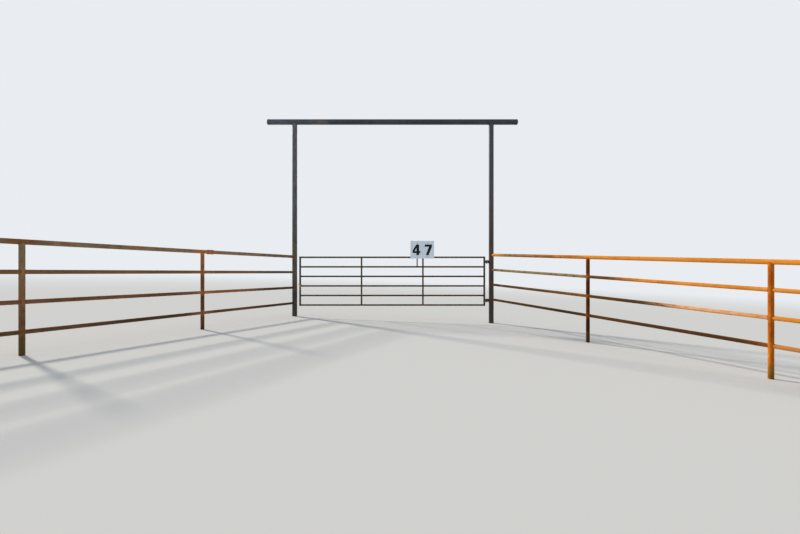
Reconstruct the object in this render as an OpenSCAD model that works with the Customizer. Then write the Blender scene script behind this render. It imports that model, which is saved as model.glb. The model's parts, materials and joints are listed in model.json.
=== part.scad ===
// Ranch gateway: a tall pipe portal, a six-rail swinging pipe gate and two flaring pipe wing fences
// Origin at the centre of the hinge post's foot, +X right as seen from the road, +Y away from it, +Z up

/* [Portal] */
// Clear width between the two gate posts
gateway_clear_w = 4978; // [3800:1:5600]
// Outer diameter of a gate post
gate_post_od = 127; // [110:0.1:150]
// Wall of a gate post
gate_post_wall = 6.5; // [5:0.1:9]
// Height of the header pipe's centre above the lowest ground
header_h = 5222; // [4300:1:5800]
// Outer diameter of the header pipe
header_od = 139.7; // [130:0.1:170]
// Wall of the header pipe
header_wall = 6.6; // [5:0.1:9]
// How far the header runs past the latch post's centre
header_past_left = 710; // [400:1:900]
// How far the header runs past the hinge post's centre
header_past_right = 685; // [400:1:900]
// Length of the pressed cap on each end of the header
header_cap_l = 32; // [26:0.5:45]
// Rounding of the pressed cap's rim
header_cap_r = 20; // [14:0.5:24]

/* [Wing fences] */
// Distance between line posts, centre to centre
bay_l = 3048; // [2400:1:3300]
// Angle of the right wing from the road's direction
right_flare = 26.5; // [20:0.5:40]
// Angle of the left wing from the road's direction
left_flare = 22; // [16:0.5:40]
// Height of the right top rail's centre at the gate post
right_top_h = 1770; // [1600:1:1850]
// Rise of the right wing's rails over one bay
right_rise = -72.5; // [-90:0.5:90]
// Height of the left top rail's centre at the gate post
left_top_h = 1723; // [1600:1:1850]
// Rise of the left wing's rails over one bay
left_rise = 85; // [-90:0.5:90]
// Spacing of the right wing's rails
right_rail_gap = 384; // [320:1:410]
// Spacing of the left wing's rails
left_rail_gap = 400; // [320:1:410]
// Rails below the top rail
mid_rails = 3; // [2:1:3]
// Outer diameter of a line post
line_post_od = 73; // [66:0.1:80]
// Wall of a line post
line_post_wall = 5.5; // [4:0.1:7]
// Outer diameter of a top rail
top_rail_od = 73; // [66:0.1:80]
// Wall of a top rail
top_rail_wall = 5.5; // [4:0.1:7]
// Outer diameter of the rails below it
mid_rail_od = 60.3; // [48:0.1:64]
// Wall of the rails below it
mid_rail_wall = 4.8; // [3.5:0.1:6]
// How far the top rail runs past the last line post's centre
top_rail_past = 90; // [60:1:160]
// Outer diameter of the coupling in the left top rail
coupling_od = 93; // [84:0.5:100]
// Length of the coupling
coupling_l = 146; // [100:1:180]
// Bevel of the coupling's rims
coupling_bevel = 3; // [1:0.5:5]
// Distance of the coupling's middle from the first line post's centre
coupling_from_post = 198; // [150:1:500]

/* [Gate] */
// Gap between the latch post and the gate
latch_gap = 55; // [45:1:80]
// Gap between the hinge post and the gate's hinge stile
hinge_gap = 92; // [85:1:110]
// Height of the top rail's centre
gate_top_h = 1708; // [1500:1:1760]
// Spacing of the gate's rails
gate_rail_gap = 247.8; // [200:0.1:250]
// Number of rails in the gate
gate_rails = 6; // [5:1:6]
// Outer diameter of the rails and uprights
gate_tube_od = 42.2; // [38:0.1:46]
// Wall of the rails and uprights
gate_tube_wall = 3.6; // [2.5:0.1:4.5]
// Outer diameter of the two stiles
stile_od = 48.3; // [47:0.1:52]
// Wall of the two stiles
stile_wall = 3.7; // [3:0.1:5]
// Thickness of the discs that close the stiles
stile_cap_t = 5; // [3:0.5:8]

/* [Hinges] */
// Distance of the hinge pins' axis from the face of the post
pin_standoff = 50; // [47:0.5:56]
// Diameter of a pin
pin_d = 19; // [16:0.5:21]
// Radial play between pin and middle knuckle
pin_play = 0.4; // [0.3:0.05:0.8]
// Height of the lower hinge's middle
hinge_lower_h = 590; // [560:1:620]
// Height of the upper hinge's middle
hinge_upper_h = 1592; // [1560:1:1600]
// Height of a hinge over its three knuckles
hinge_height = 76; // [64:1:88]
// Outer diameter of the knuckles
knuckle_od = 38; // [34:0.5:40]
// Gap between two knuckles
knuckle_gap = 0.8; // [0.6:0.05:0.9]
// Thickness of the two leaves
leaf_t = 12; // [8:0.5:16]
// Room between a knuckle and the other side's leaf
leaf_room = 6; // [5.5:0.5:8]
// Diameter of a pin's head
pin_head_d = 30; // [26:0.5:34]
// Height of a pin's head
pin_head_h = 7; // [5:0.5:10]
// Bevel of a pin's lower end, and half the bevel of its head
pin_bevel = 2; // [1:0.5:3]
// How far a pin stands out below its hinge
pin_tail = 16; // [14:0.5:20]
// Diameter of the split pin in the tail
split_pin_d = 4; // [3:0.1:4.5]
// Length of the split pin
split_pin_l = 34; // [28:1:40]

/* [Sign] */
// Width of the plate
sign_w = 610; // [450:1:760]
// Height of the plate
sign_h = 457; // [300:1:600]
// Thickness of the plate
sign_t = 3; // [2:0.1:6]
// Distance of the plate's middle from the hinge post's centre
sign_x = 1792; // [1400:1:2400]
// How far the plate's lower edge lies below the top rail's centre
sign_drop = 31; // [24:1:60]
// Distance of each strap from the plate's middle
strap_x = 132; // [90:1:180]
// Width of a strap
strap_w = 30; // [20:1:50]
// Thickness of a strap
strap_t = 5; // [4:0.1:8]
// How far a strap ends below the plate's upper edge
strap_top_margin = 60; // [20:1:120]
// How far a strap runs past the rail it ends on
strap_tail = 12; // [9:0.5:13]

/* [Chain and padlock] */
// Diameter of the chain's wire
link_wire = 5; // [4.2:0.1:5.2]
// Inside length of a link
link_inner_l = 20.2; // [19.6:0.1:22]
// Inside width of a link
link_inner_w = 11.6; // [11:0.1:13]
// Play between two links along the chain
link_play = 1.2; // [1:0.05:1.4]
// Diameter of the padlock's shackle
shackle_d = 7; // [6:0.1:8]
// Distance between the shackle's legs, centre to centre
shackle_w = 24.5; // [24:0.1:30]
// Width of the padlock's body
lock_w = 42; // [40:0.5:56]
// Thickness of the padlock's body
lock_t = 18; // [14:0.5:18]
// Height of the padlock's body
lock_h = 38; // [34:0.5:50]
// Depth of the shackle's holes in the body
lock_hole = 14; // [10:0.5:20]
// Height of the chain above the top of the padlock's body
lock_below = 17; // [14:0.5:24]

/* [Fits] */
// Root gap between a pipe and the pipe it is welded to
weld_gap = 0.3; // [0.2:0.05:0.5]
// How far the thin tips of a fence or portal saddle are ground back
saddle_trim = 8; // [6:0.5:12]
// How far the thin tips of a gate saddle are ground back
gate_saddle_trim = 4; // [3:0.5:6]
// Gap of a loose seat
seat_gap = 0.3; // [0.2:0.05:0.5]

/* [Hidden] */
$fn = 64;

portal_color = "#54403b";
fence_color = "#b8672f";
gate_color = "#4a4035";
steel_color = "#77736c";
brass_color = "#c9a24a";

// Portal
post_spacing = gateway_clear_w + gate_post_od;
header_start = -post_spacing - header_past_left + header_cap_l;
header_end = header_past_right - header_cap_l;

// Of each wing: its gate post's x, its heading, its top rail's height there, its rise a bay, its rail spacing
right_wing = [0, -90 + right_flare, right_top_h, right_rise, right_rail_gap];
left_wing = [-post_spacing, -90 - left_flare, left_top_h, left_rise, left_rail_gap];
bays = 3;

// Gate
hinge_x = -gate_post_od / 2 - pin_standoff;
hinge_stile_x = -gate_post_od / 2 - hinge_gap - stile_od / 2;
latch_stile_x = -post_spacing + gate_post_od / 2 + latch_gap + stile_od / 2;
gate_bottom_h = gate_top_h - (gate_rails - 1) * gate_rail_gap;
gate_bays = 3;
gate_bay_l = (hinge_stile_x - latch_stile_x) / gate_bays;

// Hinges
knuckle_h = (hinge_height - 2 * knuckle_gap) / 3;
knuckle_step = knuckle_h + knuckle_gap;
leaf_clear_r = knuckle_od / 2 + leaf_room;
// A leaf bites this far into its knuckle
leaf_bite = 1;
leaf_root_r = knuckle_od / 2 - leaf_bite;

// Sign
sign_bottom_h = gate_top_h - sign_drop;
strap_front_y = -gate_tube_od / 2 - seat_gap - strap_t;

// Chain: the ring's links lie flat and upright in turn, and the shackle closes it in place of one link
link_outer_w = link_inner_w + 2 * link_wire;
link_pitch = link_inner_l - link_play;
leg_from_link = link_inner_l / 2 - shackle_d / 2 - seat_gap;
ring_seat = stile_od / 2 + seat_gap + link_outer_w / 2;
function link_half_angle(apothem) = atan(link_pitch / 2 / apothem);
function leg_angle(apothem, count) =
    180 - (count - 1) * link_half_angle(apothem) - atan(leg_from_link / apothem);
function leg_spacing(apothem, count) = 2 * norm([apothem, leg_from_link]) * sin(leg_angle(apothem, count));
// The odd number of links that just goes round the stile
fewest_links = 1 + (180 - atan(leg_from_link / ring_seat)
    - asin(shackle_w / 2 / norm([ring_seat, leg_from_link]))) / link_half_angle(ring_seat);
link_count = 2 * ceil((fewest_links - 1) / 2) + 1;
// The ring's size at which the shackle's legs are shackle_w apart, by halving
function ring_size(low, high, steps) = let (middle = (low + high) / 2)
    steps == 0 ? middle
    : leg_spacing(middle, link_count) < shackle_w ? ring_size(middle, high, steps - 1)
    : ring_size(low, middle, steps - 1);
ring_apothem = ring_size(ring_seat, ring_seat + link_inner_l, 40);
ring_half_angle = link_half_angle(ring_apothem);
middle_link_is_flat = ((link_count - 1) / 2) % 2 == 0;
ring_shift = (ring_apothem - ring_seat) / (middle_link_is_flat ? 1 : cos(2 * ring_half_angle));
// The ring rests on the gate's fourth rail, the third below the top one
ring_rail = 3;
ring_h = gate_top_h - ring_rail * gate_rail_gap + gate_tube_od / 2 + seat_gap + link_outer_w / 2;
shackle_y = -norm([ring_apothem, leg_from_link]) * cos(leg_angle(ring_apothem, link_count)) - ring_shift;
lock_top_h = ring_h - lock_below;

over = 1;

function rail_h(wing, along, below) = wing[2] + wing[3] * along / bay_l - below * wing[4];
function rail_slope(wing) = atan(wing[3] / bay_l);

module pipe(od, wall, length) {
    difference() {
        cylinder(d = od, h = length);
        translate([0, 0, -over]) cylinder(d = od - 2 * wall, h = length + 2 * over);
    }
}

// A cutter for the saddle in a pipe that meets another of this outer diameter
module saddle(od, length) {
    cylinder(d = od + 2 * weld_gap, h = length, center = true);
}

// Portal
module gate_post(x) {
    color(portal_color) difference() {
        translate([x, 0, 0]) pipe(gate_post_od, gate_post_wall, header_h - saddle_trim);
        translate([x, 0, header_h]) rotate([0, 90, 0]) saddle(header_od, 2 * gate_post_od);
    }
}

module header_pipe() {
    color(portal_color) translate([header_start, 0, header_h]) rotate([0, 90, 0])
        pipe(header_od, header_wall, header_end - header_start);
}

module cap_profile(radius, rim_r, length) {
    square([radius, length - rim_r]);
    square([radius - rim_r, length]);
    translate([radius - rim_r, length - rim_r]) intersection() {
        circle(r = rim_r);
        square(rim_r);
    }
}

// A pressed cap that opens towards the pipe and ends at the given x
module header_cap(end_x, facing) {
    inner_l = header_cap_l - header_wall;
    color(portal_color) translate([end_x - facing * header_cap_l, 0, header_h]) rotate([0, facing * 90, 0])
        rotate_extrude() difference() {
            cap_profile(header_od / 2, header_cap_r, header_cap_l);
            translate([0, -over])
                cap_profile(header_od / 2 - header_wall, header_cap_r - header_wall, inner_l + over);
        }
}

// Wing fences: each is drawn along +X from its gate post and then turned to its heading
module place_wing(wing) {
    translate([wing[0], 0, 0]) rotate([0, 0, wing[1]]) children();
}

module along_rail(wing, along, below) {
    translate([along, 0, rail_h(wing, along, below)]) rotate([0, 90 - rail_slope(wing), 0]) children();
}

module line_post(wing, number) {
    along = number * bay_l;
    color(fence_color) place_wing(wing) difference() {
        translate([along, 0, 0])
            pipe(line_post_od, line_post_wall, rail_h(wing, along, 0) - saddle_trim);
        along_rail(wing, along, 0) saddle(top_rail_od, 3 * line_post_od);
    }
}

module top_rail(wing) {
    length = (bays * bay_l + top_rail_past) / cos(rail_slope(wing));
    color(fence_color) place_wing(wing) difference() {
        along_rail(wing, 0, 0) pipe(top_rail_od, top_rail_wall, length);
        translate([0, 0, wing[2]]) saddle(gate_post_od, 4 * top_rail_od);
    }
}

// A threaded coupling, with bevelled rims, round the joint of two lengths of top rail
module rail_coupling(wing) {
    bore_r = top_rail_od / 2 + weld_gap;
    outer_r = coupling_od / 2;
    half_l = coupling_l / 2;
    profile = [
        [bore_r, -half_l], [outer_r - coupling_bevel, -half_l], [outer_r, coupling_bevel - half_l],
        [outer_r, half_l - coupling_bevel], [outer_r - coupling_bevel, half_l], [bore_r, half_l]
    ];
    color(fence_color) place_wing(wing) along_rail(wing, bay_l - coupling_from_post, 0)
        rotate_extrude() polygon(profile);
}

// The rails of one bay, each cut to a saddle against the posts at its two ends
module bay_rails(wing, number) {
    start = (number - 1) * bay_l;
    end = start + bay_l;
    start_post_od = number == 1 ? gate_post_od : line_post_od;
    color(fence_color) place_wing(wing) for (below = [1 : mid_rails]) difference() {
        along_rail(wing, start, below) pipe(mid_rail_od, mid_rail_wall, bay_l / cos(rail_slope(wing)));
        translate([start, 0, rail_h(wing, start, below)]) saddle(start_post_od, 4 * mid_rail_od);
        translate([end, 0, rail_h(wing, end, below)]) saddle(line_post_od, 4 * mid_rail_od);
    }
}

// Hinges
// Barrel hinges: the outer knuckles and their leaf belong to the post, the middle one and its leaf to the gate
// A ring of the barrel, with its lower face at h
module knuckle(h, play) {
    translate([hinge_x, 0, h]) difference() {
        cylinder(d = knuckle_od, h = knuckle_h);
        translate([0, 0, -over]) cylinder(r = pin_d / 2 + play, h = knuckle_h + 2 * over);
    }
}

// A leaf between the hinge's axis and the pipe it is welded to, without its knuckles
module leaf(from_x, to_x, h, height, clear_r) {
    translate([from_x, -leaf_t / 2, h - height / 2]) difference() {
        cube([to_x - from_x, leaf_t, height]);
        translate([hinge_x - from_x, leaf_t / 2, -over]) cylinder(r = clear_r, h = height + 2 * over);
    }
}

module hinge_post_leaf(h) {
    color(steel_color) difference() {
        union() {
            for (side = [-1, 1]) {
                knuckle(h + side * knuckle_step - knuckle_h / 2, seat_gap);
                leaf(hinge_x, 0, h + side * knuckle_step, knuckle_h, leaf_root_r);
            }
            leaf(hinge_x, 0, h, hinge_height, leaf_clear_r);
        }
        translate([0, 0, h]) saddle(gate_post_od, 2 * hinge_height);
    }
}

module hinge_gate_leaf(h) {
    color(steel_color) difference() {
        union() {
            knuckle(h - knuckle_h / 2, pin_play);
            leaf(hinge_stile_x, hinge_x, h, knuckle_h, leaf_root_r);
            leaf(hinge_stile_x, hinge_x, h, hinge_height, leaf_clear_r);
        }
        translate([hinge_stile_x, 0, h]) saddle(stile_od, 2 * hinge_height);
    }
}

// The pins hang on their heads, and a split pin through the tail keeps each one in
module hinge_pins() {
    top = hinge_height / 2 + seat_gap;
    tail = -hinge_height / 2 - pin_tail;
    profile = [
        [0, tail], [pin_d / 2 - pin_bevel, tail], [pin_d / 2, tail + pin_bevel], [pin_d / 2, top],
        [pin_head_d / 2, top], [pin_head_d / 2, top + pin_head_h / 2],
        [pin_head_d / 2 - 2 * pin_bevel, top + pin_head_h], [0, top + pin_head_h]
    ];
    color(steel_color) for (h = [hinge_lower_h, hinge_upper_h]) translate([hinge_x, 0, h]) {
        rotate_extrude() polygon(profile);
        translate([0, 0, tail + pin_tail / 2]) rotate([90, 0, 0])
            cylinder(d = split_pin_d, h = split_pin_l, center = true);
    }
}

// Gate
// A rail of the gate between two upright pipes, cut to a saddle against each
module gate_rail(h, from_x, from_od, to_x, to_od) {
    color(gate_color) difference() {
        translate([from_x + gate_saddle_trim, 0, h]) rotate([0, 90, 0])
            pipe(gate_tube_od, gate_tube_wall, to_x - from_x - 2 * gate_saddle_trim);
        translate([from_x, 0, h]) saddle(from_od, 3 * gate_tube_od);
        translate([to_x, 0, h]) saddle(to_od, 3 * gate_tube_od);
    }
}

// The top and the bottom rail run from stile to stile
module gate_long_rail(h) {
    gate_rail(h, latch_stile_x, stile_od, hinge_stile_x, stile_od);
}

module gate_stile(x) {
    bottom = gate_bottom_h - gate_tube_od / 2;
    color(gate_color) translate([x, 0, bottom])
        pipe(stile_od, stile_wall, gate_top_h + gate_tube_od / 2 - bottom);
}

// Discs welded into the open ends of the stiles
module gate_stile_caps() {
    cap_d = stile_od - 2 * stile_wall - 2 * weld_gap;
    color(gate_color) for (x = [hinge_stile_x, latch_stile_x]) {
        translate([x, 0, gate_top_h + gate_tube_od / 2 - stile_cap_t]) cylinder(d = cap_d, h = stile_cap_t);
        translate([x, 0, gate_bottom_h - gate_tube_od / 2]) cylinder(d = cap_d, h = stile_cap_t);
    }
}

function upright_x(number) = hinge_stile_x - number * gate_bay_l;

module gate_upright(number) {
    color(gate_color) difference() {
        translate([upright_x(number), 0, gate_bottom_h + gate_saddle_trim])
            pipe(gate_tube_od, gate_tube_wall, gate_top_h - gate_bottom_h - 2 * gate_saddle_trim);
        for (h = [gate_bottom_h, gate_top_h]) translate([upright_x(number), 0, h]) rotate([0, 90, 0])
            saddle(gate_tube_od, 3 * gate_tube_od);
    }
}

// The rails between top and bottom rail in one bay of the gate, counted from the hinge side
module gate_bay_rails(number) {
    from_od = number == gate_bays ? stile_od : gate_tube_od;
    to_od = number == 1 ? stile_od : gate_tube_od;
    for (rail = [1 : gate_rails - 2]) {
        h = gate_top_h - rail * gate_rail_gap;
        gate_rail(h, upright_x(number), from_od, upright_x(number - 1), to_od);
    }
}

// Sign
module sign_plate() {
    color("aliceblue") translate([-sign_x - sign_w / 2, strap_front_y - sign_t, sign_bottom_h])
        cube([sign_w, sign_t, sign_h]);
}

// The left strap runs down to the second rail, and the right one ends behind the plate on the first
module sign_straps() {
    top = sign_bottom_h + sign_h - strap_top_margin;
    long_bottom = gate_top_h - gate_rail_gap - strap_tail;
    short_bottom = sign_bottom_h + strap_tail / 2;
    color(gate_color) {
        translate([-sign_x - strap_x - strap_w / 2, strap_front_y, long_bottom])
            cube([strap_w, strap_t, top - long_bottom]);
        translate([-sign_x + strap_x - strap_w / 2, strap_front_y, short_bottom])
            cube([strap_w, strap_t, top - short_bottom]);
    }
}

// Chain and padlock
// One link, lying flat with its length along +Y
module chain_link() {
    bend_r = (link_inner_w + link_wire) / 2;
    straight = link_inner_l - link_inner_w;
    for (end = [-1, 1]) translate([0, end * straight / 2, 0]) rotate([0, 0, end == 1 ? 0 : 180])
        rotate_extrude(angle = 180, $fn = 32) translate([bend_r, 0]) circle(d = link_wire);
    for (side = [-1, 1]) translate([side * bend_r, 0, 0]) rotate([90, 0, 0])
        cylinder(d = link_wire, h = straight, center = true, $fn = 32);
}

module latch_chain() {
    color(steel_color) translate([latch_stile_x, -ring_shift, ring_h])
        for (link = [0 : link_count - 1]) {
            heading = 90 + (link - (link_count - 1) / 2) * 2 * ring_half_angle;
            rotate([0, 0, heading]) translate([ring_apothem, 0, 0]) rotate([0, link % 2 == 0 ? 0 : 90, 0])
                chain_link();
        }
}

module padlock_shackle() {
    leg_bottom = lock_top_h - lock_hole + seat_gap;
    bow_h = ring_h + link_wire / 2;
    color(steel_color) translate([latch_stile_x, shackle_y, 0]) {
        for (side = [-1, 1]) translate([side * shackle_w / 2, 0, leg_bottom])
            cylinder(d = shackle_d, h = bow_h - leg_bottom);
        translate([0, 0, bow_h]) rotate([90, 0, 0])
            rotate_extrude(angle = 180) translate([shackle_w / 2, 0]) circle(d = shackle_d);
    }
}

module padlock_body() {
    corner = lock_t / 3;
    color(brass_color) translate([latch_stile_x, shackle_y, lock_top_h - lock_h]) difference() {
        linear_extrude(lock_h) {
            square([lock_w - 2 * corner, lock_t], center = true);
            square([lock_w, lock_t - 2 * corner], center = true);
            for (x = [-1, 1], y = [-1, 1])
                translate([x * (lock_w / 2 - corner), y * (lock_t / 2 - corner)]) circle(r = corner);
        }
        for (side = [-1, 1]) translate([side * shackle_w / 2, 0, lock_h - lock_hole])
            cylinder(d = shackle_d + 2 * seat_gap, h = lock_hole + over);
    }
}

gate_post(0);  // right_gate_post
gate_post(-post_spacing);  // left_gate_post
header_pipe();
header_cap(-post_spacing - header_past_left, -1);  // header_cap_left
header_cap(header_past_right, 1);  // header_cap_right
line_post(right_wing, 1);  // right_line_post_1
line_post(right_wing, 2);  // right_line_post_2
line_post(right_wing, 3);  // right_line_post_3
top_rail(right_wing);  // right_top_rail
bay_rails(right_wing, 1);  // right_bay_1_rails
bay_rails(right_wing, 2);  // right_bay_2_rails
bay_rails(right_wing, 3);  // right_bay_3_rails
line_post(left_wing, 1);  // left_line_post_1
line_post(left_wing, 2);  // left_line_post_2
line_post(left_wing, 3);  // left_line_post_3
top_rail(left_wing);  // left_top_rail
rail_coupling(left_wing);  // left_rail_coupling
bay_rails(left_wing, 1);  // left_bay_1_rails
bay_rails(left_wing, 2);  // left_bay_2_rails
bay_rails(left_wing, 3);  // left_bay_3_rails
hinge_post_leaf(hinge_upper_h);  // hinge_post_leaf_upper
hinge_post_leaf(hinge_lower_h);  // hinge_post_leaf_lower
hinge_pins();
gate_long_rail(gate_top_h);  // gate_top_rail
gate_long_rail(gate_bottom_h);  // gate_bottom_rail
gate_stile(hinge_stile_x);  // gate_hinge_stile
gate_stile(latch_stile_x);  // gate_latch_stile
gate_stile_caps();
gate_upright(1);  // gate_upright_1
gate_upright(2);  // gate_upright_2
gate_bay_rails(1);  // gate_bay_1_rails
gate_bay_rails(2);  // gate_bay_2_rails
gate_bay_rails(3);  // gate_bay_3_rails
hinge_gate_leaf(hinge_upper_h);  // hinge_gate_leaf_upper
hinge_gate_leaf(hinge_lower_h);  // hinge_gate_leaf_lower
sign_plate();
sign_straps();
latch_chain();
padlock_body();
padlock_shackle();
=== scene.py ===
# Ranch gateway with a swinging pipe gate and two pipe wing fences: finishes, welds, sign, light and camera
# Metres; +X to the right as seen from the road, +Y away from it, +Z up; the hinge post's foot is the origin
import json
import math

import bpy
from mathutils import Matrix, Vector


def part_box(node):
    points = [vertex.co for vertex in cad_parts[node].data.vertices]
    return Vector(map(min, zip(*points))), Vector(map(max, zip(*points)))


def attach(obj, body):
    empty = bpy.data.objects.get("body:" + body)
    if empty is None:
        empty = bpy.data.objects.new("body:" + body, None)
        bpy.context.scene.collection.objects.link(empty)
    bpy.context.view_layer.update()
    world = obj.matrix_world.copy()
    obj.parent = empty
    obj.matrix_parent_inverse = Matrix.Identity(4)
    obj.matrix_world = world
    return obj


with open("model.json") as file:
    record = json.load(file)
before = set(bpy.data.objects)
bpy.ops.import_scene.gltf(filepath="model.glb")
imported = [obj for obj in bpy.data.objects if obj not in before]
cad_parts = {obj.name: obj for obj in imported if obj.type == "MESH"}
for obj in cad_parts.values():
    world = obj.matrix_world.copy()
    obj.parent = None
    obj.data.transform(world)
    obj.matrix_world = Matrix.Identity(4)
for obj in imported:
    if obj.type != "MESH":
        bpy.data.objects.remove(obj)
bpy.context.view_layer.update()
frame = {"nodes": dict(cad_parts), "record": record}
nodes = frame["nodes"]
print("frame loaded:", len(nodes), "nodes")


# where things are, as the frame says
def middleOf(node):
    low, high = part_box(node)
    return (low + high) / 2


footOf = {mount["name"]: Vector(mount["pos_m"]) for mount in frame["record"]["mounts"]}


def wingFrom(side, topHeight, risePerBay, railGap):  # heights are those of the rails' axes, at the gate post
    start = footOf[side + "_gate_post_foot"]
    along = footOf[side + "_line_post_1_foot"] - start
    return {
        "start": start, "bay": along.length, "direction": along.normalized(),
        "heading": math.atan2(along.y, along.x), "posts": 3, "lowerRails": 3,
        "topHeight": topHeight, "rise": risePerBay, "railGap": railGap,
    }


rightWing = wingFrom("right", topHeight=1.770, risePerBay=-0.0725, railGap=0.384)
leftWing = wingFrom("left", topHeight=1.723, risePerBay=0.085, railGap=0.400)
pipes = {"gatePost": 0.0635, "header": 0.06985, "linePost": 0.0365, "topRail": 0.0365, "midRail": 0.03015,
         "gateTube": 0.0211, "stile": 0.02415}  # outer radii
headerHeight = middleOf("header_pipe").z
gate = {"top": middleOf("gate_top_rail").z, "bottom": middleOf("gate_bottom_rail").z, "rails": 6,
        "hingeStile": middleOf("gate_hinge_stile").x, "latchStile": middleOf("gate_latch_stile").x,
        "uprights": (middleOf("gate_upright_1").x, middleOf("gate_upright_2").x)}

# the floor's height is that at the hinge post, and it fades into the backdrop from its centre outwards
ground = {"height": 0.001, "slopeX": -0.0356, "slopeY": -0.0212, "centre": (-2.5, -3.0), "radius": 80.0,
          "edgePoints": 96, "fadeFrom": 11.0, "fadeTo": 42.0, "colour": "#d3d0ca"}
backdrop = "#e9edf1"


# helpers for material nodes
def linear(code):  # a hex colour as the shader wants it
    values = [int(code[i:i + 2], 16) / 255 for i in (1, 3, 5)]
    return [v / 12.92 if v <= 0.04045 else ((v + 0.055) / 1.055) ** 2.4 for v in values] + [1.0]


def setSocket(tree, socket, value):
    if isinstance(value, bpy.types.NodeSocket):
        tree.links.new(value, socket)
    else:
        socket.default_value = value


def addNode(tree, kind, sockets=None, **settings):
    node = tree.nodes.new(kind)
    for key, value in settings.items():
        setattr(node, key, value)
    for key, value in (sockets or {}).items():
        setSocket(tree, node.inputs[key], value)
    return node


def calculate(tree, operation, first, second=0.0, third=0.0):
    return addNode(tree, "ShaderNodeMath", {0: first, 1: second, 2: third}, operation=operation).outputs[0]


def objectPlace(tree):
    return addNode(tree, "ShaderNodeTexCoord").outputs["Object"]


def splitVector(tree, vector):
    return addNode(tree, "ShaderNodeSeparateXYZ", {"Vector": vector}).outputs


def stretched(tree, vector, factors):
    return addNode(tree, "ShaderNodeVectorMath", {0: vector, 1: factors}, operation="MULTIPLY").outputs[0]


def noise(tree, vector, scale, detail, roughness, distortion=0.0):
    return addNode(tree, "ShaderNodeTexNoise", {"Vector": vector, "Scale": scale, "Detail": detail,
                   "Roughness": roughness, "Distortion": distortion}).outputs["Fac"]


def rampBetween(tree, value, start, end):  # 0 at start and 1 at end, eased
    return addNode(tree, "ShaderNodeMapRange", {"Value": value, "From Min": start, "From Max": end},
                   interpolation_type="SMOOTHSTEP").outputs["Result"]


noiseSpan = (0.3, 0.7)  # nearly all of a noise lies in here


def spread(tree, pattern, start, end):  # a noise's span, drawn out evenly from start to end
    return addNode(tree, "ShaderNodeMapRange", {"Value": pattern, "From Min": noiseSpan[0],
                   "From Max": noiseSpan[1], "To Min": start, "To Max": end}).outputs["Result"]


def mixColour(tree, factor, first, second):
    node = addNode(tree, "ShaderNodeMix", data_type="RGBA", blend_type="MIX")
    for index, value in ((0, factor), (6, first), (7, second)):  # the sockets of a colour mix
        setSocket(tree, node.inputs[index], value)
    return node.outputs[2]


def colourRamp(tree, value, stops):
    node = addNode(tree, "ShaderNodeValToRGB", {"Fac": value})
    elements = node.color_ramp.elements
    while len(elements) < len(stops):
        elements.new(0.5)
    for element, (position, code) in zip(elements, stops):
        element.position = position
        element.color = linear(code)
    return node.outputs["Color"]


def relief(tree, height, strength, depth):
    return addNode(tree, "ShaderNodeBump", {"Height": height, "Strength": strength,
                   "Distance": depth}).outputs["Normal"]


def emptyMaterial(name):
    material = bpy.data.materials.new(name)
    material.use_nodes = True
    material.node_tree.nodes.clear()
    return material, material.node_tree


def addSurface(tree, sockets):
    shader = addNode(tree, "ShaderNodeBsdfPrincipled", sockets)
    addNode(tree, "ShaderNodeOutputMaterial", {"Surface": shader.outputs["BSDF"]})


def paint(piece, material):
    piece.data.materials.clear()
    piece.data.materials.append(material)


# weathered steel, from nearly black to pale orange in patches, mottles and specks
# A noise is given as detail, roughness and distortion, with its scale in front where that doesn't change
steelDetail = {"patchNoise": (6, 0.6, 0.5), "mottleNoise": (5, 0.68, 0.2), "speckNoise": (260.0, 2, 0.5),
               "tintCloud": (0.3, 0.6), "speckRelief": 0.35, "reliefDepth": 0.0022, "sheenRoughness": 0.4}


def alongWing(tree, place, wing):  # turned so that X runs along the wing, from its gate post
    turn = Matrix.Rotation(-wing["heading"], 3, "Z")
    return addNode(tree, "ShaderNodeMapping", {"Vector": place, "Location": -(turn @ wing["start"]),
                   "Rotation": (0, 0, -wing["heading"])}).outputs["Vector"]


def measure(tree, what, spot):  # what a range goes by: rails for "below", metres for all others
    if what in ("along", "height"):
        return spot[what]
    if what == "aboveGround":
        slope = (-ground["slopeX"], -ground["slopeY"], 1)
        level = addNode(tree, "ShaderNodeVectorMath", {0: spot["place"], 1: slope}, operation="DOT_PRODUCT")
        return calculate(tree, "SUBTRACT", level.outputs["Value"], ground["height"])
    wing = spot["wing"]
    if what == "fromPost":  # from the nearest post of the wing
        return calculate(tree, "PINGPONG", spot["along"], wing["bay"] / 2)
    topRail = calculate(tree, "MULTIPLY_ADD", spot["along"], wing["rise"] / wing["bay"], wing["topHeight"])
    drop = calculate(tree, "SUBTRACT", topRail, spot["height"])
    if what == "below":  # 0 at the top rail, 1, 2 and 3 at the rails under it
        return calculate(tree, "DIVIDE", drop, wing["railGap"])
    return calculate(tree, "PINGPONG", drop, wing["railGap"] / 2)  # "fromRail", from the nearest one


def within(tree, ranges, amount, spot):  # the amount where all ranges hold, each eased from start to end
    share = amount
    for what, start, end in ranges:
        held = rampBetween(tree, measure(tree, what, spot), start, end)
        share = calculate(tree, "MULTIPLY", held, share)
    return share


def stained(tree, colour, stain, mottles, spot):  # soil on the foot, with a ragged upper edge
    edge = calculate(tree, "MULTIPLY_ADD", mottles, stain["ragged"], measure(tree, "aboveGround", spot))
    shift = stain["ragged"] / 2
    soiled = rampBetween(tree, edge, stain["to"] + shift, stain["from"] + shift)
    share = calculate(tree, "MULTIPLY", soiled, stain["amount"])
    return mixColour(tree, share, colour, linear(stain["colour"]))


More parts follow.
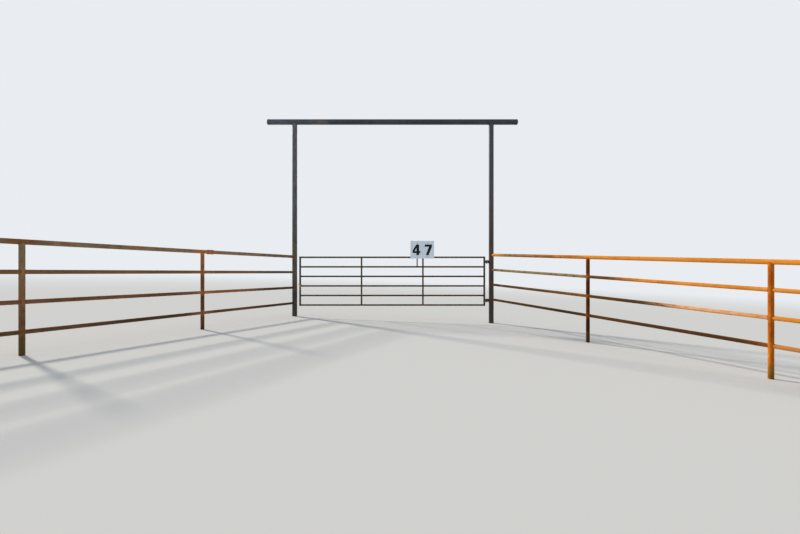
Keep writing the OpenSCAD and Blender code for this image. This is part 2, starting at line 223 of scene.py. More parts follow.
# A look's zones push the rust lighter or darker where their ranges hold, and its tints lay a colour there
def steelMaterial(name, look, wing):
    material, tree = emptyMaterial(name)
    place = objectPlace(tree)
    turned = alongWing(tree, place, wing) if wing else place
    split = splitVector(tree, turned)
    spot = {"place": place, "along": split["X"], "height": split["Z"], "wing": wing}

    grain = stretched(tree, turned, look["grain"])
    patches = noise(tree, grain, look["patchScale"], *steelDetail["patchNoise"])
    mottles = noise(tree, grain, look["mottleScale"], *steelDetail["mottleNoise"])
    specks = noise(tree, turned, *steelDetail["speckNoise"])
    level = calculate(tree, "MULTIPLY_ADD", patches, look["patches"], look["level"] - look["patches"] / 2)
    for pattern, amount in ((mottles, look["mottles"]), (specks, look["specks"])):
        lowered = calculate(tree, "SUBTRACT", level, amount / 2)
        level = calculate(tree, "MULTIPLY_ADD", pattern, amount, lowered)
    for amount, ranges in look.get("zones", ()):
        level = calculate(tree, "ADD", within(tree, ranges, amount, spot), level)

    colour = colourRamp(tree, level, look["colours"])
    for code, amount, ranges in look.get("tints", ()):
        cloud = rampBetween(tree, mottles, *steelDetail["tintCloud"])
        share = calculate(tree, "MULTIPLY", within(tree, ranges, amount, spot), cloud)
        colour = mixColour(tree, share, colour, linear(code))
    if "stain" in look:
        colour = stained(tree, colour, look["stain"], mottles, spot)

    bumps = calculate(tree, "MULTIPLY_ADD", specks, steelDetail["speckRelief"], mottles)
    sockets = {"Base Color": colour, "Roughness": spread(tree, mottles, *look["roughness"]),
               "Specular IOR Level": look["gloss"],
               "Normal": relief(tree, bumps, look["bump"], steelDetail["reliefDepth"])}
    if "sheen" in look:
        weight, code = look["sheen"]
        sockets.update({"Sheen Weight": weight, "Sheen Tint": linear(code),
                        "Sheen Roughness": steelDetail["sheenRoughness"]})
    addSurface(tree, sockets)
    return material


def onRails(first, last):  # these rails of a wing, 0 being the top one; the ranges end between the rails
    return [("below", first - 0.55, first - 0.45), ("below", last + 0.55, last + 0.45)]


railRust = {
    "colours": [(0.0, "#1c1109"), (0.25, "#44260f"), (0.42, "#864a14"), (0.58, "#d67f1d"), (0.75, "#e9963a"),
                (1.0, "#e8b274")],
    "level": 0.64, "patches": 0.7, "mottles": 0.45, "specks": 0.2, "grain": (0.22, 1.0, 1.0),
    "patchScale": 2.6, "mottleScale": 34.0, "roughness": (0.65, 0.92), "gloss": 0.1, "bump": 0.6,
    "sheen": (0.8, "#ffc468"),
}
rightRailRustAndDappledLight = {
    **railRust,
    # The zones paint dappled light over the rust: the darker stretches are painted tree shade, the lighter
    # ones painted patches of sun, brightest on the third rail towards post 2
    "zones": [
        (-0.19, [*onRails(0, 0), ("along", 3.2, 2.3), ("along", 0.2, 0.6)]),
        (0.08, [*onRails(0, 0), ("along", 5.5, 6.2)]),
        (-0.18, [*onRails(1, 1), ("along", 3.9, 3.4), ("along", 2.9, 3.1)]),
        (-0.22, [*onRails(1, 1), ("along", 3.2, 2.9)]),
        (-0.06, [*onRails(1, 1), ("along", 2.8, 2.2)]),
        (-0.26, [*onRails(2, 3), ("along", 6.3, 5.9)]),
        (-0.22, [*onRails(2, 3), ("along", 3.4, 2.6)]),
        (0.09, [*onRails(2, 2), ("along", 1.2, 2.9), ("along", 3.3, 3.1)]),
        (-0.17, [*onRails(2, 2), ("along", 4.8, 4.1), ("along", 2.9, 3.2)]),
        (0.26, [*onRails(2, 2), ("along", 4.3, 5.1), ("along", 6.3, 5.9)]),
        (-0.12, [*onRails(3, 3), ("along", 6.3, 5.9)]),
        (-0.10, [*onRails(3, 3), ("along", 5.9, 6.3)]),
        (-0.14, [*onRails(1, 1), ("along", 5.0, 3.6)]),
    ],
    # The first four tints are painted light: the dull grey-tans on the two top rails of the first bay stand
    # for tree shade, the pale tans on the third rail towards post 2 for a painted sun glint
    "tints": [
        ("#a08a62", 0.8, [*onRails(1, 1), ("along", 3.2, 2.9)]),
        ("#a07e50", 0.6, [*onRails(0, 0), ("along", 2.6, 0.8)]),
        ("#b98a68", 0.6, [*onRails(2, 2), ("along", 4.0, 4.7), ("along", 5.2, 4.4)]),
        ("#dcb08a", 0.8, [*onRails(2, 2), ("along", 4.3, 5.1), ("along", 6.2, 6.0)]),
        ("#b4875c", 0.6, [*onRails(3, 3), ("along", 6.0, 6.3)]),
    ],
}
rightPostRust = {
    **railRust,
    "colours": [(0.0, "#1c1009"), (0.25, "#3f1e09"), (0.42, "#7c3a09"), (0.58, "#bc600f"), (0.75, "#dc8424"),
                (1.0, "#e3a55e")],
    "level": 0.59, "patches": 0.6, "grain": (1.0, 1.0, 0.3),
    "zones": [(0.06, [("fromRail", 0.09, 0.04)])],
    "stain": {"colour": "#5e4e16", "from": 0.03, "to": 0.34, "ragged": 0.3, "amount": 0.85},
}
# The first right line post: the post rust made darker as painted tree shade, darker still low down and a
# little lighter up high, with the lighter rust at the rails kept
shadedPostRust = {
    **rightPostRust,
    "level": 0.32,
    "zones": [(0.06, [("height", 0.9, 1.7)]), (-0.12, [("height", 0.7, 0.4)]),
              (0.12, [("fromRail", 0.09, 0.04)])],
    "stain": {"colour": "#41351d", "from": 0.0, "to": 0.3, "ragged": 0.3, "amount": 0.8},
}
leftRustAndHighlight = {
    **railRust,
    "colours": [(0.0, "#2a1b13"), (0.28, "#523826"), (0.46, "#825638"), (0.62, "#a6693c"), (0.8, "#bf743e"),
                (1.0, "#cf9464")],
    "level": 0.50, "sheen": (0.5, "#e8dcc0"),
    "zones": [
        (0.19, [("fromPost", 0.42, 0.04), ("along", 2.2, 2.8), ("along", 3.9, 3.2)]),
        (0.14, [*onRails(0, 0), ("along", 2.4, 2.75), ("along", 3.5, 3.2)]),
        (-0.12, [("along", 1.6, 0.7)]),
        (-0.06, [*onRails(2, 3), ("along", 2.2, 0.9)]),
        (-0.08, [*onRails(1, 3), ("along", 1.8, 0.9)]),
        (-0.08, [*onRails(2, 2), ("along", 2.0, 1.2)]),
        (-0.09, [*onRails(2, 2), ("along", 2.95, 3.3), ("along", 5.2, 4.6)]),
        (-0.08, [*onRails(2, 3), ("along", 2.9, 3.6)]),
        (-0.10, onRails(3, 3)),
    ],
    "tints": [
        # painted highlight: the pale grey-tan along the top rail between the posts stands for sunlight
        # grazing its top and a veil of glare
        ("#9c8a70", 0.6, [*onRails(0, 0), ("fromPost", 0.1, 0.4)]),
        ("#6f6342", 0.5, onRails(1, 1)),
    ],
}
leftPostRust = {
    **leftRustAndHighlight,
    "level": 0.53, "grain": (1.0, 1.0, 0.3),
    "zones": [(0.10, [("fromRail", 0.10, 0.03)]), (-0.11, [("aboveGround", 1.3, 0.2)])],
    "tints": [("#948a70", 0.7, [("height", 1.2, 1.7)]), ("#7e7050", 0.4, [("height", 0.7, 1.1)])],
    "stain": {"colour": "#54491f", "from": 0.0, "to": 0.45, "ragged": 0.35, "amount": 0.8},
}
firstLeftPostRust = {
    **leftPostRust,
    "level": 0.52, "tints": (),
    "zones": [(0.20, [("fromRail", 0.09, 0.03)]), (0.12, [("height", 1.25, 1.6)]),
              (-0.22, [("aboveGround", 1.1, 0.2)])],
    "stain": {"colour": "#3f2c14", "from": 0.0, "to": 0.2, "ragged": 0.2, "amount": 0.6},
}
portalPatinaLightAndShade = {
    "colours": [(0.0, "#1f1916"), (0.34, "#3a302a"), (0.52, "#544338"), (0.68, "#6b4c38"), (0.82, "#8c5632"),
                (1.0, "#ad6a3c")],
    "level": 0.45, "patches": 0.8, "mottles": 0.5, "specks": 0.2, "grain": (1.0, 1.0, 0.2),
    "patchScale": 3.2, "mottleScale": 30.0, "roughness": (0.4, 0.7), "gloss": 0.4, "bump": 0.45,
    # painted shade: the posts darken from 2.3 m down to 0.6 m
    "zones": [(-0.25, [("height", 2.3, 0.6)])],
    "tints": [("#6b3f22", 0.45, [("fromRail", 0.12, 0.05), ("height", 1.95, 1.85), ("height", 0.4, 0.5)]),
              # painted sky reflection: the blue-grey over the posts' upper part
              ("#414d5b", 0.75, [("height", 2.0, 3.6)])],
    "stain": {"colour": "#3e382e", "from": 0.0, "to": 0.25, "ragged": 0.25, "amount": 0.7},
}
leftPortalPatinaLightAndShade = {
    **portalPatinaLightAndShade,
    "level": 0.47,
    "tints": [("#70502e", 0.5, [("fromRail", 0.12, 0.05), ("height", 1.95, 1.85), ("height", 0.45, 0.55)]),
              ("#69685a", 0.5, [("height", 0.7, 1.2), ("height", 2.6, 1.8)]),
              # painted sky reflection: the blue-grey over the post's upper part
              ("#6d7681", 0.6, [("height", 1.9, 3.0)])],
}
headerPatinaAndSkyShine = {
    **portalPatinaLightAndShade,
    # The cool blue-grey of these colours is partly the steel's own dark grey and partly a painted reflection
    # of the blue sky
    "colours": [(0.0, "#1b1f24"), (0.34, "#30373f"), (0.52, "#444c57"), (0.68, "#57565a"), (0.82, "#785a4c"),
                (1.0, "#9a684c")],
    "level": 0.45, "grain": (0.2, 1.0, 1.0),
    "zones": [(0.07, [("along", -3.2, -5.0)]), (-0.12, [("along", -3.0, -0.6)])],
    "tints": [("#8c7464", 0.35, [("along", -4.8, -4.65), ("along", -4.15, -4.3)]),
              ("#6d7379", 0.4, [("along", -5.25, -5.45)])],
}
headerPatinaAndSkyShine.pop("stain")
gatePatina = {
    "colours": [(0.0, "#211a13"), (0.34, "#413020"), (0.52, "#5f4529"), (0.7, "#7d5632"), (0.86, "#985e32"),
                (1.0, "#b17848")],
    "level": 0.37, "patches": 0.8, "mottles": 0.5, "specks": 0.2, "grain": (0.35, 1.0, 0.6),
    "patchScale": 3.4, "mottleScale": 38.0, "roughness": (0.5, 0.8), "gloss": 0.3, "bump": 0.5,
    "tints": [("#5b5d4e", 0.4, [("along", -2.6, -4.2)])],
}
hingeForging = {**gatePatina, "level": 0.17, "grain": (1.0, 1.0, 1.0), "roughness": (0.55, 0.8),
                "gloss": 0.15, "tints": ()}
bead = {"mottleScale": 110.0, "grain": (1.0, 1.0, 1.0), "bump": 0.9, "specks": 0.3, "tints": ()}
rightWeld = {**railRust, **bead, "level": 0.46}
darkWeld = {**railRust, **bead, "level": 0.36}
leftWeld = {**leftRustAndHighlight, **bead, "level": 0.46, "zones": ()}
portalWeld = {**portalPatinaLightAndShade, **bead, "level": 0.42, "zones": ()}
portalWeld.pop("stain")
gateWeld = {**gatePatina, **bead, "level": 0.48}

# each material's look, the wing whose measures it reads, and the nodes that wear it
looks = {
    "rightRailSteel": (rightRailRustAndDappledLight, rightWing, ["right_top_rail", "right_bay_1_rails", "right_bay_2_rails",
                                                  "right_bay_3_rails"]),
    "rightPostSteel": (rightPostRust, rightWing, ["right_line_post_2", "right_line_post_3"]),
    "shadedPostSteel": (shadedPostRust, rightWing, ["right_line_post_1"]),
    "leftRailSteel": (leftRustAndHighlight, leftWing, ["left_top_rail", "left_rail_coupling", "left_bay_1_rails",
                                           "left_bay_2_rails", "left_bay_3_rails"]),
    "leftPostSteel": (leftPostRust, leftWing, ["left_line_post_2", "left_line_post_3"]),
    "firstLeftPostSteel": (firstLeftPostRust, leftWing, ["left_line_post_1"]),
    "rightPortalSteel": (portalPatinaLightAndShade, rightWing, ["right_gate_post"]),
    "leftPortalSteel": (leftPortalPatinaLightAndShade, leftWing, ["left_gate_post"]),
    "headerSteel": (headerPatinaAndSkyShine, None, ["header_pipe", "header_cap_left", "header_cap_right"]),
    "gateSteel": (gatePatina, None, ["gate_top_rail", "gate_bottom_rail", "gate_hinge_stile",
                                     "gate_latch_stile", "gate_stile_caps", "gate_upright_1",
                                     "gate_upright_2", "gate_bay_1_rails", "gate_bay_2_rails",
                                     "gate_bay_3_rails", "sign_straps"]),
    "hingeSteel": (hingeForging, None, ["hinge_post_leaf_upper", "hinge_post_leaf_lower", "hinge_pins",
                                        "hinge_gate_leaf_upper", "hinge_gate_leaf_lower"]),
    "rightWeld": (rightWeld, None, []),
    "darkWeld": (darkWeld, None, []),
    "leftWeld": (leftWeld, None, []),
    "portalWeld": (portalWeld, None, []),
    "gateWeld": (gateWeld, None, []),
}
materials = {}
for name, (look, wing, names) in looks.items():
    materials[name] = steelMaterial(name, look, wing)
    for node in names:
        paint(nodes[node], materials[name])
print("weathered steel on", sum(len(names) for look, wing, names in looks.values()), "nodes")


# white sign paint with grey runs and a dirty rim, and its dull grey back; the pale blue in its white is
# painted skylight
signPaint = {"colour": "#e9f6ff", "dirt": "#b0bbc2", "dirtShare": 0.18, "edgeDirt": 0.03, "back": "#a3a6a8",
             "backDull": "#84817b", "backFacing": (0.4, 0.6), "runStretch": (1.0, 1.0, 0.15),
             "runNoise": (26.0, 5, 0.6, 0.2), "runs": (0.48, 0.75), "filmNoise": (9.0, 4, 0.55),
             "gloss": 0.8, "roughness": 0.3, "filmRoughness": 0.3, "bump": (0.15, 0.001)}


def rimOfPlate(tree, place):  # 1 at the plate's rim and 0 where its edge dirt ends
    low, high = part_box("sign_plate")
    split = splitVector(tree, place)
    inside = []
    for axis in (0, 2):
        offset = calculate(tree, "SUBTRACT", split[axis], (high[axis] + low[axis]) / 2)
        inside.append(calculate(tree, "SUBTRACT", (high[axis] - low[axis]) / 2,
                                calculate(tree, "ABSOLUTE", offset)))
    return rampBetween(tree, calculate(tree, "MINIMUM", *inside), signPaint["edgeDirt"], 0.0)


def paintedPlate(name):
    material, tree = emptyMaterial(name)
    place = objectPlace(tree)
    runs = noise(tree, stretched(tree, place, signPaint["runStretch"]), *signPaint["runNoise"])
    film = noise(tree, place, *signPaint["filmNoise"])
    dirt = calculate(tree, "ADD", rampBetween(tree, runs, *signPaint["runs"]),
                     calculate(tree, "MULTIPLY", rimOfPlate(tree, place), film))
    share = calculate(tree, "MULTIPLY", dirt, signPaint["dirtShare"])
    front = mixColour(tree, share, linear(signPaint["colour"]), linear(signPaint["dirt"]))
    back = mixColour(tree, rampBetween(tree, runs, *noiseSpan), linear(signPaint["back"]),
                     linear(signPaint["backDull"]))
    facing = splitVector(tree, addNode(tree, "ShaderNodeTexCoord").outputs["Normal"])["Y"]
    colour = mixColour(tree, rampBetween(tree, facing, *signPaint["backFacing"]), front, back)
    rough = calculate(tree, "MULTIPLY_ADD", film, signPaint["filmRoughness"], signPaint["roughness"])
    addSurface(tree, {"Base Color": colour, "Specular IOR Level": signPaint["gloss"], "Roughness": rough,
                      "Normal": relief(tree, film, *signPaint["bump"])})
    return material


# chain and padlock
zincFinish = {"bright": "#9d9a92", "dull": "#6b665e", "rust": "#7a4a2a", "metal": 0.6,
              "roughness": (0.4, 0.7), "scale": 60.0}
brassFinish = {"bright": "#eed06a", "dull": "#b8953e", "metal": 0.5, "roughness": (0.3, 0.6), "scale": 90.0}
shackleFinish = {"bright": "#b9b8b4", "dull": "#8d8a84", "metal": 0.9, "roughness": (0.2, 0.4),
                 "scale": 60.0}
metalDetail = {"cloudNoise": (4, 0.6, 0.3), "dulled": (0.35, 0.65), "rustScale": 2.5, "rustNoise": (3, 0.6),
               "rusted": (0.54, 0.66), "bump": (0.25, 0.0006)}


def smallMetal(name, finish):
    material, tree = emptyMaterial(name)
    place = objectPlace(tree)
    cloud = noise(tree, place, finish["scale"], *metalDetail["cloudNoise"])
    colour = mixColour(tree, rampBetween(tree, cloud, *metalDetail["dulled"]), linear(finish["bright"]),
                       linear(finish["dull"]))
    if "rust" in finish:
        spots = noise(tree, place, finish["scale"] * metalDetail["rustScale"], *metalDetail["rustNoise"])
        colour = mixColour(tree, rampBetween(tree, spots, *metalDetail["rusted"]), colour,
                           linear(finish["rust"]))
    addSurface(tree, {"Base Color": colour, "Roughness": spread(tree, cloud, *finish["roughness"]),
                      "Metallic": finish["metal"], "Normal": relief(tree, cloud, *metalDetail["bump"])})
    return material


materials["signPaint"] = paintedPlate("signPaint")
materials["chainZinc"] = smallMetal("chainZinc", zincFinish)
materials["lockBrass"] = smallMetal("lockBrass", brassFinish)
materials["shackleSteel"] = smallMetal("shackleSteel", shackleFinish)
for node, name in (("sign_plate", "signPaint"), ("latch_chain", "chainZinc"), ("padlock_body", "lockBrass"),
                   ("padlock_shackle", "shackleSteel")):
    paint(nodes[node], materials[name])
print("sign, chain and padlock finished")


# weld beads: one ring for each kind of joint, copied to its places
weld = {"fenceBead": 0.0048, "portalBead": 0.0065, "gateBead": 0.0034, "leafBead": 0.0042, "ripple": 0.0024,
        "rippleSize": 0.006, "leafThickness": 0.012, "leafProud": 0.001, "ringPoints": 40, "ringRound": 1,
        "linePoints": 10, "lineRound": 2}
host = {"points": 128, "length": 6, "widest": 0.985}  # length in ring radii, the widest ring in host radii


def onlySelect(*objects):
    bpy.ops.object.select_all(action="DESELECT")
    for each in objects:
        each.select_set(True)
    bpy.context.view_layer.objects.active = objects[0]


def rename(piece, name):
    piece.name = name
    piece.data.name = name


def applyPlace():  # what is selected takes its place into its mesh
    bpy.ops.object.transform_apply(location=True, rotation=True, scale=True)


def closeSeams(piece, gap=0.0001):  # a converted curve's caps and faces are loose until they are merged
    onlySelect(piece)
    bpy.ops.object.mode_set(mode="EDIT")
    bpy.ops.mesh.select_all(action="SELECT")
    bpy.ops.mesh.remove_doubles(threshold=gap)
    bpy.ops.mesh.normals_make_consistent(inside=False)
    bpy.ops.object.mode_set(mode="OBJECT")


def fitToHost(ring, hostRadius, length):  # the ring drops along its axis onto the host pipe
    bpy.ops.mesh.primitive_cylinder_add(vertices=host["points"], radius=hostRadius, depth=length)
    hostPipe = bpy.context.object
    onlySelect(ring)
    onto = ring.modifiers.new("onto", "SHRINKWRAP")
    onto.target = hostPipe
    onto.wrap_method = "PROJECT"
    onto.use_project_z = True
    onto.use_positive_direction = False
    onto.use_negative_direction = True
    bpy.ops.object.modifier_apply(modifier="onto")
    bpy.data.objects.remove(hostPipe)


def weldRing(ringRadius, hostRadius, thickness):  # host along Z at the origin, pipe leaves it along +X
    bpy.ops.object.select_all(action="DESELECT")
    if hostRadius:
        ringRadius = min(ringRadius, host["widest"] * hostRadius)
    bpy.ops.mesh.primitive_circle_add(vertices=weld["ringPoints"], radius=ringRadius,
                                      location=(hostRadius + ringRadius if hostRadius else 0, 0, 0),
                                      rotation=(0, math.radians(90), 0))
    ring = bpy.context.object
    if hostRadius:
        fitToHost(ring, hostRadius, host["length"] * ringRadius)
    onlySelect(ring)
    bpy.ops.object.convert(target="CURVE")
    ring = bpy.context.object
    ring.data.bevel_depth = thickness
    ring.data.bevel_resolution = weld["ringRound"]
    bpy.ops.object.convert(target="MESH")
    ring = bpy.context.object
    applyPlace()
    bpy.ops.object.shade_smooth()
    return ring


def weldLine(length, thickness):  # a straight bead along Z, centred; a path is four radii long
    bpy.ops.object.select_all(action="DESELECT")
    bpy.ops.curve.primitive_nurbs_path_add(radius=length / 4, rotation=(0, math.radians(90), 0))
    line = bpy.context.object
    line.data.bevel_depth = thickness
    line.data.bevel_resolution = weld["lineRound"]
    line.data.resolution_u = weld["linePoints"]
    line.data.use_fill_caps = True
    bpy.ops.object.convert(target="MESH")
    line = bpy.context.object
    closeSeams(line)
    applyPlace()
    bpy.ops.object.shade_smooth()
    return line


def jointPlace(centre, pipeDirection, hostDirection):
    x = Vector(pipeDirection).normalized()
    y = Vector(hostDirection).cross(x).normalized()
    z = x.cross(y)
    matrix = Matrix((x, y, z)).transposed().to_4x4()
    matrix.translation = Vector(centre)
    return matrix


def weldPiece(name, joints, material, body):  # joints are (ring, place)
    copies = []
    for ring, place in joints:
        copy = ring.copy()
        copy.data = ring.data.copy()
        copy.data.transform(place)
        bpy.context.collection.objects.link(copy)
        copies.append(copy)
    onlySelect(*copies)
    bpy.ops.object.join()
    piece = bpy.context.object
    rename(piece, name)
    ripple = piece.modifiers.new("ripple", "DISPLACE")
    ripple.texture = bpy.data.textures.new(name + "Ripple", "CLOUDS")
    ripple.texture.noise_scale = weld["rippleSize"]
    ripple.strength = weld["ripple"]
    ripple.mid_level = 0.5
    bpy.ops.object.modifier_apply(modifier="ripple")
    paint(piece, materials[material])
    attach(piece, body)


up, down = Vector((0, 0, 1)), Vector((0, 0, -1))
right, left = Vector((1, 0, 0)), Vector((-1, 0, 0))
leafLow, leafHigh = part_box("hinge_post_leaf_lower")
rings = {
    "railOnLinePost": weldRing(pipes["midRail"], pipes["linePost"], weld["fenceBead"]),
    "linePostOnTopRail": weldRing(pipes["linePost"], pipes["topRail"], weld["fenceBead"]),
    "railOnGatePost": weldRing(pipes["midRail"], pipes["gatePost"], weld["fenceBead"]),
    "topRailOnGatePost": weldRing(pipes["topRail"], pipes["gatePost"], weld["fenceBead"]),
    "gatePostOnHeader": weldRing(pipes["gatePost"], pipes["header"], weld["portalBead"]),
    "headerCap": weldRing(pipes["header"], 0, weld["portalBead"]),
    "leaf": weldLine(leafHigh.z - leafLow.z, weld["leafBead"]),
    "tubeOnStile": weldRing(pipes["gateTube"], pipes["stile"], weld["gateBead"]),
    "tubeOnTube": weldRing(pipes["gateTube"], pipes["gateTube"], weld["gateBead"]),
}


def railPoint(wing, along, below):
    return wing["start"] + wing["direction"] * along + up * (
        wing["topHeight"] + wing["rise"] * along / wing["bay"] - below * wing["railGap"])


def railDirection(wing):
    return (railPoint(wing, wing["bay"], 0) - railPoint(wing, 0, 0)).normalized()


def wingJoints(wing):
    joints = []
    railway = railDirection(wing)
    for post in range(1, wing["posts"] + 1):
        along = post * wing["bay"]
        joints.append((rings["linePostOnTopRail"], jointPlace(railPoint(wing, along, 0), down, railway)))
        ways = (-1, 1) if post < wing["posts"] else (-1,)  # no lower rails go on from the last post
        for below in range(1, wing["lowerRails"] + 1):
            for way in ways:
                place = jointPlace(railPoint(wing, along, below), way * railway, up)
                joints.append((rings["railOnLinePost"], place))
    return joints


def gatePostJoints(wing):
    railway = railDirection(wing)
    kinds = ["topRailOnGatePost"] + wing["lowerRails"] * ["railOnGatePost"]
    return [(rings[kind], jointPlace(railPoint(wing, 0, below), railway, up))
            for below, kind in enumerate(kinds)]


def leafJoints(pipeX, pipeRadius, side):  # beads down both faces of a hinge leaf, where it meets its pipe
    joints = []
    half = weld["leafThickness"] / 2
    x = pipeX + side * math.sqrt(pipeRadius ** 2 - half ** 2)
    for leaf in ("hinge_post_leaf_upper", "hinge_post_leaf_lower"):
        for face in (-1, 1):
            place = Matrix.Translation((x + side * weld["leafProud"], face * (half + weld["leafProud"]),
                                        middleOf(leaf).z))
            joints.append((rings["leaf"], place))
    return joints


def gateJoints():
    joints = leafJoints(gate["hingeStile"], pipes["stile"], 1)
    step = (gate["top"] - gate["bottom"]) / (gate["rails"] - 1)
    for rail in range(gate["rails"]):
        height = gate["top"] - rail * step
        joints.append((rings["tubeOnStile"], jointPlace((gate["hingeStile"], 0, height), left, up)))
        joints.append((rings["tubeOnStile"], jointPlace((gate["latchStile"], 0, height), right, up)))
        for x in gate["uprights"]:
            if rail == 0:
                joints.append((rings["tubeOnTube"], jointPlace((x, 0, height), down, right)))
            elif rail == gate["rails"] - 1:
                joints.append((rings["tubeOnTube"], jointPlace((x, 0, height), up, right)))
            else:
                for way in (left, right):
                    joints.append((rings["tubeOnTube"], jointPlace((x, 0, height), way, up)))
    return joints


def portalJoints():
    joints = []
    for foot in ("right_gate_post_foot", "left_gate_post_foot"):
        place = jointPlace((footOf[foot].x, 0, headerHeight), down, right)
        joints.append((rings["gatePostOnHeader"], place))
    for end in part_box("header_pipe"):
        joints.append((rings["headerCap"], jointPlace((end.x, 0, headerHeight), right, up)))
    return joints + leafJoints(0, pipes["gatePost"], -1)


weldPiece("rightWingWelds", wingJoints(rightWing), "rightWeld", "gateway")
weldPiece("leftWingWelds", wingJoints(leftWing), "leftWeld", "gateway")
weldPiece("rightGatePostWelds", gatePostJoints(rightWing), "darkWeld", "gateway")
weldPiece("leftGatePostWelds", gatePostJoints(leftWing), "leftWeld", "gateway")
weldPiece("portalWelds", portalJoints(), "portalWeld", "gateway")
weldPiece("gateWelds", gateJoints(), "gateWeld", "gate")
for ring in rings.values():
    bpy.data.objects.remove(ring)
print("welds laid")


# plain number on the sign
number = {"height": 0.274, "between": 0.115, "drop": 0.003, "thickness": 0.0006, "colour": "#070b12",
          "faded": "#12161b", "filmNoise": (40.0, 4, 0.6), "fading": (0.45, 0.75), "gloss": 0.25,
          "roughness": 0.5, "filmRoughness": 0.2, "bump": (0.1, 0.0005)}
stemLeft, stemRight = 0.37, 0.62  # sides of the four's stem, in heights of the number
digitShapes = (  # outlines a height of 1 tall, each with its width; a four and a seven
    (0.74, [[(stemLeft, 0), (stemRight, 0), (stemRight, 0.19), (0.74, 0.19), (0.74, 0.38), (stemRight, 0.38),
             (stemRight, 1), (0.35, 1), (0, 0.41), (0, 0.19), (stemLeft, 0.19)],
            [(stemLeft, 0.38), (0.2, 0.38), (stemLeft, 0.68)]]),
    (0.68, [[(0.09, 0), (0.36, 0), (0.68, 0.8), (0.68, 1), (0, 1), (0, 0.79), (0.39, 0.79)]]),
)
signLow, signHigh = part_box("sign_plate")


def numberPaint(name):
    material, tree = emptyMaterial(name)
    film = noise(tree, objectPlace(tree), *number["filmNoise"])
    colour = mixColour(tree, rampBetween(tree, film, *number["fading"]), linear(number["colour"]),
                       linear(number["faded"]))
    rough = calculate(tree, "MULTIPLY_ADD", film, number["filmRoughness"], number["roughness"])
    addSurface(tree, {"Base Color": colour, "Specular IOR Level": number["gloss"], "Roughness": rough,
                      "Normal": relief(tree, film, *number["bump"])})
    return material


def digitOutlines(width):  # both digits in one flat curve, centred
    outlines = bpy.data.curves.new("signNumber", "CURVE")
    outlines.dimensions = "2D"
    outlines.fill_mode = "BOTH"
    outlines.extrude = number["thickness"]
    start = -width / 2
    for digitWidth, loops in digitShapes:
        for loop in loops:
            spline = outlines.splines.new("POLY")
            spline.points.add(len(loop) - 1)
            for point, (x, y) in zip(spline.points, loop):
                point.co = (start + x * number["height"], (y - 0.5) * number["height"], 0, 1)
            spline.use_cyclic_u = True
        start += digitWidth * number["height"] + number["between"]
    return outlines


width = sum(shape[0] for shape in digitShapes) * number["height"] + number["between"]
digits = bpy.data.objects.new("signNumber", digitOutlines(width))
bpy.context.collection.objects.link(digits)
digits.location = ((signLow.x + signHigh.x) / 2, signLow.y - number["thickness"],
                   (signLow.z + signHigh.z) / 2 - number["drop"])
digits.rotation_euler = (math.radians(90), 0, 0)
onlySelect(digits)
bpy.ops.object.convert(target="MESH")
digits = bpy.context.object
bpy.ops.object.mode_set(mode="EDIT")
for stemSide in (stemLeft, stemRight):  # cuts beside the four's stem, so that no sliver is left in its fill
    bpy.ops.mesh.select_all(action="SELECT")
    bpy.ops.mesh.bisect(plane_co=(digits.location.x - width / 2 + stemSide * number["height"], 0, 0),
                        plane_no=(1, 0, 0))
bpy.ops.object.mode_set(mode="OBJECT")
closeSeams(digits)
bpy.ops.object.shade_flat()
applyPlace()
rename(digits, "signNumber")
paint(digits, numberPaint("numberBlack"))
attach(digits, "gate")

# sign bolts: a washer and a domed head on the plate, a nut and the shank's end behind the strap
bolt = {"radius": 0.0085, "dome": 0.004, "washer": 0.012, "washerThick": 0.0016, "fromTop": 0.075,
        "fromBottom": 0.067, "fromStrapSide": 0.015, "nut": 0.0092, "nutThick": 0.0075, "shank": 0.005,
        "tip": 0.004, "edge": 0.0006, "edgeSteps": 2, "bevelOver": 50, "smoothUnder": 35, "washerSides": 24,
        "domeSides": 20, "domeRings": 10, "nutSides": 6, "shankSides": 16}
strapLow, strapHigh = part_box("sign_straps")


def boltParts(x, z):
    facing = (math.radians(90), 0, 0)  # the bolt's axis lies along Y
    bpy.ops.object.select_all(action="DESELECT")
    bpy.ops.mesh.primitive_cylinder_add(vertices=bolt["washerSides"], radius=bolt["washer"],
                                        depth=bolt["washerThick"], rotation=facing,
                                        location=(x, signLow.y - bolt["washerThick"] / 2, z))
    parts = [bpy.context.object]
    bpy.ops.mesh.primitive_uv_sphere_add(segments=bolt["domeSides"], ring_count=bolt["domeRings"],
                                         radius=bolt["radius"], scale=(1, 1, bolt["dome"] / bolt["radius"]),
                                         location=(x, signLow.y - bolt["washerThick"], z), rotation=facing)
    parts.append(bpy.context.object)
    for sides, radius, offset, length in (
            (bolt["nutSides"], bolt["nut"], 0, bolt["nutThick"]),
            (bolt["shankSides"], bolt["shank"], bolt["nutThick"], bolt["tip"])):
        bpy.ops.mesh.primitive_cylinder_add(vertices=sides, radius=radius, depth=length, rotation=facing,
                                            location=(x, strapHigh.y + offset + length / 2, z))
        parts.append(bpy.context.object)
    return parts


boltMeshes = []
for x in (strapLow.x + bolt["fromStrapSide"], strapHigh.x - bolt["fromStrapSide"]):
    for z in (signLow.z + bolt["fromBottom"], signHigh.z - bolt["fromTop"]):
        boltMeshes += boltParts(x, z)
onlySelect(*boltMeshes)
applyPlace()
bpy.ops.object.join()
signBolts = bpy.context.object
rename(signBolts, "signBolts")
edges = signBolts.modifiers.new("edges", "BEVEL")
edges.width = bolt["edge"]
edges.segments = bolt["edgeSteps"]
edges.angle_limit = math.radians(bolt["bevelOver"])
bpy.ops.object.modifier_apply(modifier="edges")
bpy.ops.object.shade_smooth_by_angle(angle=math.radians(bolt["smoothUnder"]))
paint(signBolts, materials["chainZinc"])
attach(signBolts, "gate")
print("sign lettered and bolted")


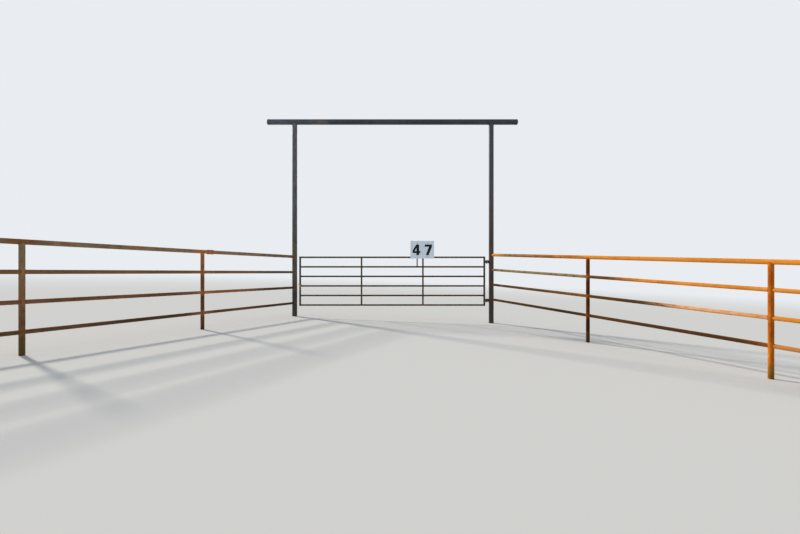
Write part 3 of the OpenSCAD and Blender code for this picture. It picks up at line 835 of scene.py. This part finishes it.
# floor, light and camera
def seenDirectly(tree):  # 1 for what the camera sees straight, in a shine or through glass
    rays = addNode(tree, "ShaderNodeLightPath").outputs
    return calculate(tree, "MAXIMUM", rays["Is Camera Ray"],
                     calculate(tree, "MAXIMUM", rays["Is Glossy Ray"], rays["Is Transmission Ray"]))


def paleFloor():
    material, tree = emptyMaterial("paleFloor")
    flat = stretched(tree, objectPlace(tree), (1, 1, 0))
    distance = addNode(tree, "ShaderNodeVectorMath", {0: flat}, operation="LENGTH").outputs["Value"]
    share = calculate(tree, "MULTIPLY", rampBetween(tree, distance, ground["fadeFrom"], ground["fadeTo"]),
                      seenDirectly(tree))
    near = addNode(tree, "ShaderNodeBsdfDiffuse", {"Color": linear(ground["colour"])})
    far = addNode(tree, "ShaderNodeEmission", {"Color": linear(backdrop), "Strength": 1.0})
    mixed = addNode(tree, "ShaderNodeMixShader", {0: share, 1: near.outputs[0], 2: far.outputs[0]})
    addNode(tree, "ShaderNodeOutputMaterial", {"Surface": mixed.outputs[0]})
    return material


centreX, centreY = ground["centre"]
normal = Vector((-ground["slopeX"], -ground["slopeY"], 1)).normalized()
bpy.ops.object.select_all(action="DESELECT")
bpy.ops.mesh.primitive_circle_add(
    vertices=ground["edgePoints"], radius=ground["radius"], fill_type="NGON",
    location=(centreX, centreY, ground["height"] + ground["slopeX"] * centreX + ground["slopeY"] * centreY),
    rotation=normal.to_track_quat("Z", "Y").to_euler())
floor = bpy.context.object
floor.name = "floor"
floor.data.materials.append(paleFloor())

# the sun stands to the left, so many degrees behind the gateway and so many above the horizon
sunLight = {"behind": 38.0, "height": 25.0, "distance": 20, "strength": 4.2, "angle": 6.0,
            "colour": (1.0, 0.95, 0.87)}
skyLight = {"colour": (0.75, 0.85, 1.0), "strength": 0.58}
view = {"place": (-2.369, -11.56, 1.664), "lens": 20.025, "sensor": 36.0, "shiftY": -0.01, "clipEnd": 300.0}

behind, height = math.radians(sunLight["behind"]), math.radians(sunLight["height"])
toSun = Vector((-math.cos(behind) * math.cos(height), math.sin(behind) * math.cos(height), math.sin(height)))
bpy.ops.object.light_add(type="SUN", location=toSun * sunLight["distance"],
                         rotation=toSun.to_track_quat("Z", "Y").to_euler())
sun = bpy.context.object.data
sun.energy = sunLight["strength"]
sun.angle = math.radians(sunLight["angle"])
sun.color = sunLight["colour"]

world = bpy.data.worlds.new("studio")
bpy.context.scene.world = world
world.use_nodes = True
tree = world.node_tree
tree.nodes.clear()
fill = addNode(tree, "ShaderNodeBackground", {"Color": (*skyLight["colour"], 1),
               "Strength": skyLight["strength"]})
shown = addNode(tree, "ShaderNodeBackground", {"Color": linear(backdrop), "Strength": 1.0})
seen = seenDirectly(tree)
mixed = addNode(tree, "ShaderNodeMixShader", {0: seen, 1: fill.outputs[0], 2: shown.outputs[0]})
addNode(tree, "ShaderNodeOutputWorld", {"Surface": mixed.outputs[0]})

bpy.ops.object.camera_add(location=view["place"], rotation=(math.radians(90), 0, 0))
camera = bpy.context.object
camera.data.lens = view["lens"]
camera.data.sensor_width = view["sensor"]
camera.data.shift_y = view["shiftY"]
camera.data.clip_end = view["clipEnd"]
bpy.context.scene.camera = camera
bpy.context.scene.view_settings.view_transform = "Standard"
print("floor, light and camera set")
